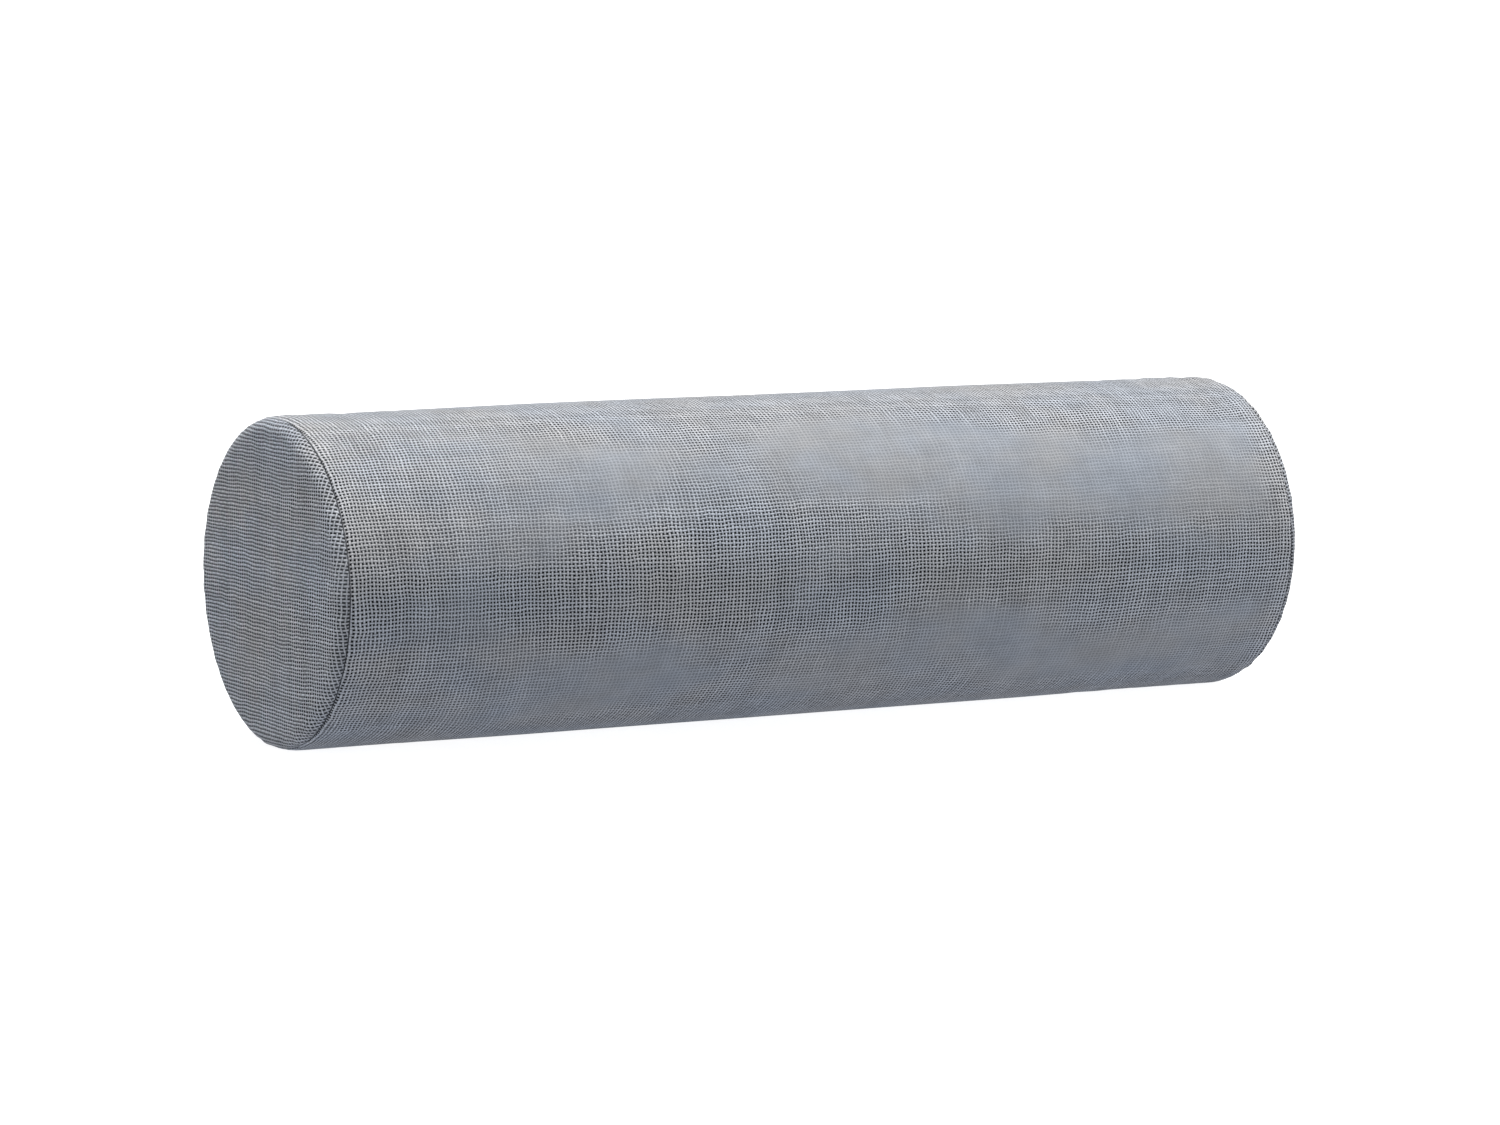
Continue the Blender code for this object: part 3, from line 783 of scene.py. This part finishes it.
def slot_outline(low, high, radius):
    """A rounded hole between two places along X."""
    corners = [(high, HOLE_SIDE), (low, HOLE_SIDE), (low, -HOLE_SIDE), (high, -HOLE_SIDE)]
    return rounded_outline(corners, radius)


def make_pull_tab(metal):
    """A stamped tab with an eye for the slider's bridge and a slot for a cord."""
    root, tip = TAB_HIGH.x, TAB_LOW.x
    side = (TAB_HIGH.z - TAB_LOW.z) / 2
    right = [
        (root, side * TAB_ROOT_SHARE),
        (root - TAB_NECK, side * TAB_NECK_SHARE),
        (tip + TAB_WIDEST, side),
        (tip, side * TAB_TIP_SHARE),
    ]
    left = [(x, -z) for x, z in reversed(right)]
    outline = rounded_outline([(x, -z) for x, z in right + left], TAB_CORNER)
    eye = slot_outline(root - EYE[0], root - EYE[1], EYE_CORNER)
    slot = slot_outline(tip + CORD_SLOT[0], tip + CORD_SLOT[1], HOLE_SIDE)
    outlines = [outline, eye, slot]
    tab = plate_object("zip_pull_tab_stamped", outlines, TAB_LOW.y, TAB_HIGH.y, TAB_EDGE, metal)
    shade_metal(tab, sharp_angle=50)
    finish_piece(tab, ["zip_pull_tab"], "pull_tab")


# Materials


class Graph:
    """A material's nodes, with a short way to add each kind."""

    def __init__(self, name):
        self.material = bpy.data.materials.new(name)
        self.material.use_nodes = True
        self.nodes = self.material.node_tree.nodes
        self.links = self.material.node_tree.links
        self.shader = self.nodes["Principled BSDF"]

    def put(self, socket, value):
        if isinstance(value, bpy.types.NodeSocket):
            self.links.new(value, socket)
        elif value is not None:
            socket.default_value = value

    def add(self, kind, inputs=(), **settings):
        node = self.nodes.new(kind)
        for setting, value in settings.items():
            setattr(node, setting, value)
        for key, value in dict(inputs).items():
            self.put(node.inputs[key], value)
        return node

    def math(self, operation, first, second=None):
        return self.add("ShaderNodeMath", {0: first, 1: second}, operation=operation).outputs[0]

    def times(self, first, second):
        return self.math("MULTIPLY", first, second)

    def plus(self, first, second):
        return self.math("ADD", first, second)

    def minus(self, first, second):
        return self.math("SUBTRACT", first, second)

    def ramp(self, value, low, high, start=0.0, stop=1.0):
        """Rises smoothly from start to stop as the value goes from low to high."""
        inputs = {"Value": value, "From Min": low, "From Max": high, "To Min": start, "To Max": stop}
        node = self.add("ShaderNodeMapRange", inputs, interpolation_type="SMOOTHSTEP")
        return node.outputs["Result"]

    def point(self, x, y, z):
        return self.add("ShaderNodeCombineXYZ", {0: x, 1: y, 2: z}).outputs[0]

    def noise(self, vector, scale, detail=2.0, roughness=0.5):
        inputs = {"Vector": vector, "Scale": scale, "Detail": detail, "Roughness": roughness}
        return self.add("ShaderNodeTexNoise", inputs).outputs["Fac"]

    def chance(self, value):
        inputs = {"W": value}
        return self.add("ShaderNodeTexWhiteNoise", inputs, noise_dimensions="1D").outputs["Value"]

    def mix(self, share, first, second):
        node = self.add("ShaderNodeMix", data_type="RGBA", clamp_factor=True)
        self.put(node.inputs[0], share)
        self.put(node.inputs[6], first)
        self.put(node.inputs[7], second)
        return node.outputs[2]

    def tint(self, colour, amount):
        """A colour made lighter or darker by a number."""
        node = self.add("ShaderNodeVectorMath", operation="SCALE")
        self.put(node.inputs[0], colour if isinstance(colour, bpy.types.NodeSocket) else colour[:3])
        self.put(node.inputs["Scale"], amount)
        return node.outputs[0]

    def stain(self, colour, dye):
        return self.add("ShaderNodeVectorMath", {0: colour, 1: dye}, operation="MULTIPLY").outputs[0]

    def cloth(self):
        """Cloth coordinates in metres, along and across the panel."""
        drawn = self.add("ShaderNodeUVMap", uv_map="cloth").outputs[0]
        split = self.add("ShaderNodeSeparateXYZ", {0: drawn})
        return split.outputs[0], split.outputs[1]

    def place(self):
        return self.add("ShaderNodeTexCoord").outputs["Object"]

    def finish(self, colour, roughness, height, depth, strength=1.0):
        bump = self.add("ShaderNodeBump", {"Strength": strength, "Distance": depth, "Height": height})
        self.put(self.shader.inputs["Base Color"], colour)
        self.put(self.shader.inputs["Roughness"], roughness)
        self.put(self.shader.inputs["Normal"], bump.outputs[0])
        return self.material

    def sheen(self, weight, roughness):
        self.shader.inputs["Sheen Weight"].default_value = weight
        self.shader.inputs["Sheen Roughness"].default_value = roughness


# Colours of the cover's weave, with painted shade in its holes, and where it fades out: in random patches,
# and in five bands round the roller that paint the clearer weave of raking light, one of them along the
# front's middle height

YARN = (0.655, 0.67, 0.705, 1.0)
YARN_SHADE = (0.16, 0.165, 0.178, 1.0)
# Painted shade: the weave's holes, near black as the shade seen through them
PAINTED_HOLE_SHADE = (0.002, 0.002, 0.003, 1.0)
CLOTH_MEAN = (0.352, 0.367, 0.394, 1.0)
COOL = (0.955, 0.995, 1.045, 1.0)
WARM = (1.03, 1.005, 0.97, 1.0)
RAKING_LIGHT_BANDS = 5
RAKING_LIGHT_MIDDLE = math.pi * RADIUS
RAKING_LIGHT_STRENGTH = 0.17
FADED = 0.22
CLEAR_BY_SEAM = (BODY_HALF - 0.026, BODY_HALF - 0.002)
CLEAR_TO_LEFT = (-0.05, -0.24)

# Yarns: spacings and widths (as shares of the spacing), along the panel and across it. Each
# variation is a base, a share that differs by yarn, and a share that differs along the yarn.

BODY_PITCHES = (0.00184, 0.0017)
BODY_WIDTHS = (0.51, 0.51)
END_PITCHES = (0.00205, 0.00166)
END_WIDTHS = (0.36, 0.54)
SLUB_RATE = 95.0
SLUB_STEP = 3.17
YARN_EDGE = 0.05
WIDTH_VARIATION = (0.8, 0.16, 0.24)
LIGHT_VARIATION = (0.72, 0.12, 0.44)
YARN_ROUNDNESS = 0.65
WEAVE_DEPTH = 0.00035

# Drifts of the yarns, each in two parts: its amount in metres, the scale of its noise, and a seed

DRIFT_ALONG = (0.014, 9.0, 11.0), (0.0017, 105.0, 5.0)
DRIFT_ACROSS = (0.005, 11.0, 23.0), (0.0015, 105.0, 8.0)


def drift(g, along, across, parts):
    """A soft shift of the threads in two parts, by up to about half of each part's amount."""
    first, second = [g.times(g.minus(g.noise(g.point(along, across, seed), scale, 1.0), 0.5), amount)
                     for amount, scale, seed in parts]
    return g.plus(first, second)


def varied(g, variation, own, slub):
    base, by_yarn, along_yarn = variation
    return g.plus(base, g.plus(g.times(own, by_yarn), g.times(slub, along_yarn)))


def yarn_family(g, across, along, pitch, width, seed):
    """One family of parallel yarns: its phase, coverage, roundness and brightness."""
    count = g.math("DIVIDE", across, pitch)
    number = g.math("FLOOR", count)
    own = g.chance(g.plus(number, seed))
    offset = g.math("ABSOLUTE", g.minus(g.math("FRACT", count), 0.5))
    slub = g.noise(g.point(g.times(number, SLUB_STEP), g.times(along, SLUB_RATE), seed), 1.0, 2.0, 0.6)
    half = g.times(width / 2, varied(g, WIDTH_VARIATION, own, slub))
    cover = g.ramp(offset, g.plus(half, YARN_EDGE), g.minus(half, YARN_EDGE))
    inside = g.math("DIVIDE", offset, half)
    bow = g.math("SQRT", g.math("MAXIMUM", g.minus(1.0, g.times(inside, inside)), 0.0))
    return count, cover, bow, varied(g, LIGHT_VARIATION, own, slub)


def plain_weave(g, x, y, pitches, widths):
    """Two families of yarns, over and under by turns: height, brightness, holes, both brightnesses."""
    count_x, cover_x, bow_x, light_x = yarn_family(g, x, y, pitches[0], widths[0], 17.0)
    count_y, cover_y, bow_y, light_y = yarn_family(g, y, x, pitches[1], widths[1], 71.0)
    wave = g.times(g.math("SINE", g.times(count_x, math.pi)), g.math("SINE", g.times(count_y, math.pi)))
    rise = g.times(wave, 1.0 - YARN_ROUNDNESS)
    height_x = g.times(cover_x, g.plus(g.times(bow_x, YARN_ROUNDNESS), rise))
    height_y = g.times(cover_y, g.minus(g.times(bow_y, YARN_ROUNDNESS), rise))
    x_on_top = g.ramp(g.minus(height_x, height_y), -0.12, 0.12)
    height = g.math("MAXIMUM", height_x, height_y)
    light = g.plus(g.times(light_x, x_on_top), g.times(light_y, g.minus(1.0, x_on_top)))
    hole = g.times(g.minus(1.0, cover_x), g.minus(1.0, cover_y))
    return height, light, hole, g.plus(light_x, light_y)


def weave_patches(g, along, across):
    return g.noise(g.point(g.times(along, 7.0), g.times(across, 16.0), 3.0), 1.0, 3.0, 0.55)


def body_clearness(g, along, across):
    """How clearly the weave shows: in random patches, in five bands round the roller that stand in for
    raking light, one of them along the front's middle height, and fully near the left end and the seams.
    """
    # Painted raking light: the weave and its painted shade show clearer in five bands round the roller, one
    # along the front's middle height
    bands = g.math("COSINE", g.times(g.minus(across, RAKING_LIGHT_MIDDLE), RAKING_LIGHT_BANDS / RADIUS))
    banded = g.plus(weave_patches(g, along, across), g.times(bands, RAKING_LIGHT_STRENGTH))
    clear = g.ramp(banded, 0.34, 0.62, FADED, 1.0)
    beside_seam = g.ramp(g.math("ABSOLUTE", along), *CLEAR_BY_SEAM)
    towards_left = g.ramp(along, *CLEAR_TO_LEFT, 0.0, 0.9)
    return g.math("MAXIMUM", clear, g.math("MAXIMUM", beside_seam, towards_left))


def end_clearness(g, along, across):
    """How clearly the end panel's weave shows: nearly everywhere, and a little less at its edge."""
    from_centre = g.math("SQRT", g.plus(g.times(along, along), g.times(across, across)))
    patches = g.ramp(weave_patches(g, along, across), 0.3, 0.5, 0.85, 1.0)
    return g.times(patches, g.ramp(from_centre, 0.064, 0.074, 1.0, 0.9))


def weave_colour(g, along, across, clear, weave):
    """Yarns, with painted shade where they dip under each other, and holes painted near black as the shade
    seen through them, blended into the cloth's mean colour where the weave isn't clear.
    """
    height, light, hole, both_lights = weave
    yarns = g.tint(g.mix(g.ramp(height, 0.0, 0.85), YARN_SHADE, YARN), light)
    closed = g.tint(CLOTH_MEAN, g.plus(0.86, g.times(both_lights, 0.07)))
    cloth = g.mix(clear, closed, g.mix(hole, yarns, PAINTED_HOLE_SHADE))
    mottle = g.noise(g.point(along, across, 41.0), 60.0, 3.0, 0.6)
    cloth = g.tint(cloth, g.plus(0.8, g.times(mottle, 0.4)))
    dye = g.noise(g.point(g.times(along, 14.0), g.times(across, 22.0), 57.0), 1.0, 3.0, 0.6)
    return g.stain(cloth, g.mix(g.ramp(dye, 0.3, 0.7), COOL, WARM))


def weave_material(name, pitches, widths, clearness):
    """Open plain weave whose yarns wander a little, over the whole panel and over a few yarns."""
    g = Graph(name)
    along, across = g.cloth()
    clear = clearness(g, along, across)
    x = g.plus(along, drift(g, along, across, DRIFT_ALONG))
    y = g.plus(across, drift(g, along, across, DRIFT_ACROSS))
    weave = plain_weave(g, x, y, pitches, widths)
    height = weave[0]
    colour = weave_colour(g, along, across, clear, weave)
    g.sheen(0.08, 0.45)
    g.shader.inputs["Specular IOR Level"].default_value = 0.25
    return g.finish(colour, g.ramp(height, 0.0, 1.0, 0.95, 0.78), g.times(height, clear), WEAVE_DEPTH)


# Other materials

SEAM_THREAD = (0.34, 0.36, 0.40, 1.0), (0.20, 0.215, 0.245, 1.0)
ZIP_THREAD = (0.66, 0.68, 0.72, 1.0), (0.42, 0.44, 0.48, 1.0)
ZIP_TAPE = (0.44, 0.46, 0.50, 1.0), (0.27, 0.285, 0.315, 1.0)
ZIP_NYLON = (0.52, 0.54, 0.58, 1.0), (0.40, 0.42, 0.455, 1.0)
SOFT_FOAM = (0.72, 0.72, 0.68, 1.0), (0.5, 0.5, 0.46, 1.0)
FIRM_FOAM = (0.12, 0.12, 0.13, 1.0), (0.05, 0.05, 0.055, 1.0)
LINER = (0.78, 0.78, 0.79, 1.0), (0.52, 0.52, 0.54, 1.0)
METAL = (0.66, 0.67, 0.69, 1.0)
METAL_CLOUD = (0.42, 0.43, 0.45, 1.0)
METAL_SCUFF = (0.30, 0.30, 0.31, 1.0)
TWILL_WIDTH = 0.0016
TWILL_PITCH = 0.0006
KNIT_COLUMN = 0.0009
KNIT_LOOP = 0.0007


def thread_material(name, colour, shade):
    """Twisted sewing thread."""
    g = Graph(name)
    place = g.place()
    twist = g.add("ShaderNodeTexWave", {"Vector": place, "Scale": 900.0, "Distortion": 1.5, "Detail": 1.0},
                  bands_direction="DIAGONAL").outputs["Fac"]
    fibres = g.noise(place, 2600.0, 2.0)
    colour = g.mix(g.times(twist, fibres), shade, colour)
    g.sheen(0.2, 0.4)
    return g.finish(colour, g.ramp(twist, 0.0, 1.0, 0.75, 0.5), twist, 0.00008)


def tape_material(name, colour, shade):
    """Close herringbone of a zip tape."""
    g = Graph(name)
    along, across = g.cloth()
    zigzag = g.math("PINGPONG", across, TWILL_WIDTH)
    stripe = g.math("FRACT", g.math("DIVIDE", g.plus(along, zigzag), TWILL_PITCH))
    rib = g.ramp(g.math("ABSOLUTE", g.minus(stripe, 0.5)), 0.1, 0.5)
    fine = g.noise(g.point(along, across, 2.0), 1800.0, 2.0)
    colour = g.mix(g.plus(g.times(rib, 0.6), g.times(fine, 0.4)), colour, shade)
    g.sheen(0.15, 0.5)
    return g.finish(colour, g.ramp(rib, 0.0, 1.0, 0.8, 0.92), g.minus(1.0, rib), 0.00012)


def nylon_material(name, colour, shade):
    """Satin nylon, slightly hazy."""
    g = Graph(name)
    place = g.place()
    haze = g.noise(place, 420.0, 3.0)
    fine = g.noise(place, 4200.0, 2.0)
    colour = g.mix(haze, shade, colour)
    return g.finish(colour, g.ramp(haze, 0.3, 0.7, 0.32, 0.5), fine, 0.00002)


def metal_material(name):
    """Plated metal with fine brushing, a cloudy patina and small scuffs."""
    g = Graph(name)
    place = g.place()
    stretch = g.add("ShaderNodeVectorMath", {0: place, 1: (1.0, 9.0, 9.0)}, operation="MULTIPLY").outputs[0]
    brushed = g.noise(stretch, 700.0, 3.0, 0.6)
    cloud = g.noise(place, 260.0, 3.0)
    scuffs = g.ramp(g.noise(place, 1500.0, 4.0, 0.7), 0.6, 0.72)
    colour = g.mix(g.times(scuffs, 0.5), g.mix(cloud, METAL_CLOUD, METAL), METAL_SCUFF)
    roughness = g.plus(g.times(brushed, 0.18), g.plus(g.times(scuffs, 0.2), 0.2))
    g.shader.inputs["Metallic"].default_value = 1.0
    return g.finish(colour, roughness, g.minus(brushed, scuffs), 0.00003, 0.6)


def foam_material(name, colour, shade, cells):
    """Cut foam, with cells of a given number to a metre."""
    g = Graph(name)
    place = g.place()
    cell = g.add("ShaderNodeTexVoronoi", {"Vector": place, "Scale": cells}).outputs["Distance"]
    cloud = g.noise(place, 35.0, 3.0)
    colour = g.mix(g.plus(g.times(cell, 0.5), g.times(cloud, 0.4)), colour, shade)
    return g.finish(colour, g.ramp(cell, 0.0, 0.8, 0.95, 0.85), cell, 0.0004)


def knit_material(name, colour, shade):
    """Fine jersey: columns of loops."""
    g = Graph(name)
    place = g.place()
    split = g.add("ShaderNodeSeparateXYZ", {0: place})
    column = g.math("SINE", g.times(split.outputs[0], math.tau / KNIT_COLUMN))
    loop = g.math("SINE", g.plus(g.times(split.outputs[2], math.tau / KNIT_LOOP), g.times(column, 1.2)))
    height = g.plus(g.times(column, 0.5), g.times(loop, 0.3))
    cloud = g.noise(place, 90.0, 3.0)
    colour = g.mix(g.ramp(g.plus(height, g.times(cloud, 0.4)), -0.7, 1.0), shade, colour)
    return g.finish(colour, g.ramp(height, -0.8, 0.8, 0.95, 0.85), height, 0.00015)


def dress_cad(nodes, material):
    """Gives CAD nodes that keep their shape their procedural material."""
    for name in nodes:
        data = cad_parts[name].data
        data.materials.clear()
        data.materials.append(material)


# Studio

AZIMUTH = math.radians(-30.0)
ELEVATION = math.radians(5.88)
DISTANCE = 2.6493
LENS = 135.63
SENSOR = 36.0
AIM_RIGHT = -0.005874
AIM_UP = -0.003375
FLOOR_SIZE = 200.0
WHITE = (1.0, 1.0, 1.0, 1.0)
PAPER = (0.6, 0.6, 0.6, 1.0)
PAPER_GLOW = (0.86, 0.88)
BOUNCE = (0.93, 0.98, 1.09, 1.0)
BOUNCE_STRENGTH = 0.43
FILL = (0.95, 0.975, 1.0, 1.0)
FILL_STRENGTH = 0.2


def make_camera():
    """The camera fitted to the photo, from how far it stands off and how it turns."""
    back = Vector((math.sin(AZIMUTH) * math.cos(ELEVATION),
                   -math.cos(AZIMUTH) * math.cos(ELEVATION), math.sin(ELEVATION)))
    turn = (-back).to_track_quat("-Z", "Y")
    right = turn @ Vector(ALONG_X)
    up = turn @ Vector(ALONG_Y)
    data = bpy.data.cameras.new("camera")
    data.lens = LENS
    data.sensor_width = SENSOR
    camera = linked_object("camera", data)
    camera.rotation_mode = "QUATERNION"
    camera.rotation_quaternion = turn
    camera.location = CENTRE + back * DISTANCE + right * AIM_RIGHT + up * AIM_UP
    bpy.context.scene.camera = camera


def floor_material():
    """Reads as white paper, and throws back less light than it shows, like a lit sweep far away."""
    g = Graph("floor_paper")
    grain = g.noise(g.place(), 40.0, 2.0)
    paper = g.add("ShaderNodeBsdfDiffuse", {"Color": PAPER})
    bounce = g.add("ShaderNodeEmission", {"Color": BOUNCE, "Strength": BOUNCE_STRENGTH})
    glow = g.add("ShaderNodeEmission", {"Strength": g.ramp(grain, 0.0, 1.0, *PAPER_GLOW)})
    bright = g.add("ShaderNodeAddShader", {0: paper.outputs[0], 1: glow.outputs[0]})
    seen = g.add("ShaderNodeLightPath").outputs["Is Camera Ray"]
    both = g.add("ShaderNodeMixShader", {0: seen, 1: bounce.outputs[0], 2: bright.outputs[0]})
    g.put(g.nodes["Material Output"].inputs["Surface"], both.outputs[0])
    return g.material


def make_floor():
    half = FLOOR_SIZE / 2
    points = np.array([(-half, -half, 0.0), (half, -half, 0.0), (half, half, 0.0), (-half, half, 0.0)])
    floor = mesh_object("studio_floor", points, [[0, 1, 2, 3]], floor_material())


def make_world():
    """White where the camera sees it, and a dim, slightly blue fill for everything else."""
    world = bpy.data.worlds.new("studio")
    world.use_nodes = True
    bpy.context.scene.world = world
    nodes, links = world.node_tree.nodes, world.node_tree.links
    fill = nodes["Background"]
    fill.inputs["Color"].default_value = FILL
    fill.inputs["Strength"].default_value = FILL_STRENGTH
    white = nodes.new("ShaderNodeBackground")
    white.inputs["Color"].default_value = WHITE
    path = nodes.new("ShaderNodeLightPath")
    mix = nodes.new("ShaderNodeMixShader")
    links.new(path.outputs["Is Camera Ray"], mix.inputs[0])
    links.new(fill.outputs[0], mix.inputs[1])
    links.new(white.outputs[0], mix.inputs[2])
    links.new(mix.outputs[0], nodes["World Output"].inputs["Surface"])


def add_light(name, kind, location, energy, **settings):
    """A lamp that faces the middle of the roller."""
    data = bpy.data.lights.new(name, kind)
    data.energy = energy
    for setting, value in settings.items():
        setattr(data, setting, value)
    lamp = linked_object(name, data)
    lamp.location = location
    lamp.rotation_mode = "QUATERNION"
    lamp.rotation_quaternion = (CENTRE - lamp.location).to_track_quat("-Z", "Y")


def make_lights():
    add_light("overhead", "SUN", location=(0.0, 0.08, 2.1), energy=3.5, angle=math.radians(25))
    add_light("front_right", "AREA", location=(1.15, -0.9, 0.2), energy=7.5, size=0.7)
    add_light("left_side", "AREA", location=(-1.8, -0.1, 0.25), energy=8.6, size=1.0)


def dress_filling():
    """Gives the foams and the liner, out of sight in the cover, their materials."""
    soft_foam = foam_material("soft_foam", *SOFT_FOAM, cells=1400.0)
    firm_foam = foam_material("firm_foam", *FIRM_FOAM, cells=700.0)
    knit = knit_material("liner_knit", *LINER)
    dress_cad(["foam_sleeve", "foam_end_left", "foam_end_right"], soft_foam)
    dress_cad(["firm_core"], firm_foam)
    dress_cad(["liner_body", "liner_end_left", "liner_end_right"], knit)


def make_roller():
    """Every piece. The two rows of topstitching draw the last random numbers, in turn."""
    body_weave = weave_material("cover_weave_body", BODY_PITCHES, BODY_WIDTHS, body_clearness)
    end_weave = weave_material("cover_weave_end", END_PITCHES, END_WIDTHS, end_clearness)
    seam_thread = thread_material("seam_thread", *SEAM_THREAD)
    zip_thread = thread_material("zip_thread", *ZIP_THREAD)
    tape = tape_material("zip_tape", *ZIP_TAPE)
    nylon = nylon_material("zip_nylon", *ZIP_NYLON)
    metal = metal_material("zip_metal")

    make_cover_body(body_weave, simulated_bulge())
    make_slider(metal)
    make_pull_tab(metal)
    for side, direction in SIDES.items():
        make_cover_end(side, direction, end_weave)
        make_end_seam(side, direction, seam_thread)
        make_bar_tack(side, direction, zip_thread)
    for edge, direction in EDGES.items():
        make_zip_tape(edge, direction, tape)
        make_zip_coil(edge, direction, nylon)
        make_coil_seams(edge, direction, zip_thread)
        make_topstitch(edge, direction, zip_thread)
    dress_cad(["zip_top_stop_upper", "zip_top_stop_lower", "zip_bottom_stop"], metal)
    dress_filling()


make_roller()
make_floor()
make_world()
make_lights()
make_camera()
bpy.context.scene.view_settings.view_transform = "Standard"
